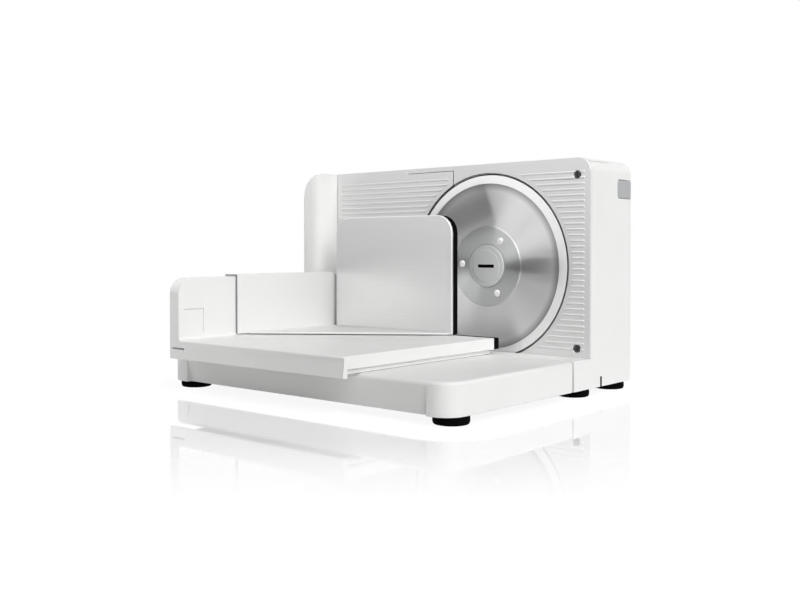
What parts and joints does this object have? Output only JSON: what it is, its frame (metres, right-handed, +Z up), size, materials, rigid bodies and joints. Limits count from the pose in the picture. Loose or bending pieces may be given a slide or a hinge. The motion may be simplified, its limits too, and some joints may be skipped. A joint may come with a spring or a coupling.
{
  "type": "food slicer",
  "caption": "White folding household food slicer with round steel blade, ribbed stop plate, sliding carriage with remnant holder, hinged base and rear thickness dial.",
  "frame": {"origin": "centre of the whole outline, on the floor under the rubber feet", "axes": "+Z up, +Y from the carriage side towards the back of the casing, +X to the right as seen from the carriage side"},
  "size_m": [0.327, 0.3172, 0.2078],
  "materials": {
    "white_plastic": "smooth white moulding",
    "silver_sheet": "satin silver",
    "blade_steel": "turned stainless steel",
    "grey_plastic": "satin grey",
    "black_plastic": "satin black",
    "gear_plastic": "natural",
    "rubber": "black rubber",
    "steel": "plain steel"
  },
  "bodies": {
    "housing": {"housing_shell": "white_plastic", "chassis": "white_plastic", "bottom_cover": "grey_plastic", "housing_foot_front_left": "rubber", "housing_foot_front_right": "rubber", "housing_foot_rear_left": "rubber", "housing_foot_rear_right": "rubber", "cover_screw_left": "steel", "cover_screw_right": "steel", "front_panel": "silver_sheet", "panel_screw_upper": "steel", "panel_screw_lower": "steel", "guide_rod_upper": "steel", "guide_rod_lower": "steel", "blade_axle": "steel", "idler_pin": "steel", "gear_plate": "steel", "motor": "steel", "switch_body": "black_plastic", "cord_inlet": "rubber", "hinge_pin_left": "steel", "hinge_pin_right": "steel"},
    "blade": {"blade": "blade_steel", "blade_gear": "gear_plastic", "blade_rivet_1": "steel", "blade_rivet_2": "steel", "blade_rivet_3": "steel"},
    "blade_lock": {"blade_lock": "grey_plastic"},
    "idler": {"idler_gear": "gear_plastic"},
    "rotor": {"motor_pinion": "steel", "motor_shaft": "steel"},
    "gauge": {"gauge_plate": "silver_sheet", "gauge_carrier": "black_plastic"},
    "dial": {"thickness_dial": "grey_plastic", "dial_spindle": "steel"},
    "button": {"power_button": "grey_plastic"},
    "base": {"base": "white_plastic", "base_foot_left": "rubber", "base_foot_right": "rubber"},
    "runner": {"carriage_runner": "black_plastic"},
    "carriage": {"carriage": "white_plastic", "carriage_strip": "black_plastic"},
    "holder": {"holder_saddle": "white_plastic", "pressing_plate": "silver_sheet", "backing_plate": "black_plastic", "holder_web": "white_plastic"}
  },
  "joints": [
    {"name": "blade_spin", "type": "hinge", "parent": "housing", "child": "blade", "pos_m": [0.0552, 0.06235, 0.1119], "axis": [0, 1, 0], "continuous": true},
    {"name": "idler_spin", "type": "hinge", "parent": "housing", "child": "idler", "pos_m": [0.09749, 0.06235, 0.12729], "axis": [0, 1, 0], "continuous": true},
    {"name": "rotor_spin", "type": "hinge", "parent": "housing", "child": "rotor", "pos_m": [0.10775, 0.06235, 0.0991], "axis": [0, 1, 0], "continuous": true},
    {"name": "blade_lock_turn", "type": "hinge", "parent": "housing", "child": "blade_lock", "pos_m": [0.0552, 0.06235, 0.1119], "axis": [0, 1, 0], "range_deg": [0, 90]},
    {"name": "dial_turn", "type": "hinge", "parent": "housing", "child": "dial", "pos_m": [-0.0715, 0.14135, 0.1228], "axis": [0, 1, 0], "range_deg": [0, 302]},
    {"name": "gauge_slide", "type": "slide", "parent": "housing", "child": "gauge", "axis": [0, 1, 0], "range_m": [0, 0.015]},
    {"name": "button_push", "type": "slide", "parent": "housing", "child": "button", "axis": [-1, 0, 0], "range_m": [0, 0.0025], "stiffness_N_per_m": 600, "springref_m": -0.001},
    {"name": "base_fold", "type": "hinge", "parent": "housing", "child": "base", "pos_m": [0, 0.02975, 0.0298], "axis": [-1, 0, 0], "range_deg": [0, 90]},
    {"name": "carriage_slide", "type": "slide", "parent": "base", "child": "runner", "axis": [1, 0, 0], "range_m": [0, 0.15]},
    {"name": "carriage_lift", "type": "slide", "parent": "runner", "child": "carriage", "axis": [0, -1, 0], "range_m": [0, 0.32]},
    {"name": "holder_slide", "type": "slide", "parent": "carriage", "child": "holder", "axis": [0, 1, 0], "range_m": [-0.15, 0.012]}
  ],
  "couplings": [
    {"joint": "idler_spin", "follows": "blade_spin", "ratio": -4},
    {"joint": "rotor_spin", "follows": "blade_spin", "ratio": 16},
    {"joint": "dial_turn", "follows": "gauge_slide", "rad_per_m": 349.07},
    {"joint": "carriage_lift", "follows": "base_fold", "m_per_rad": 0.2}
  ]
}
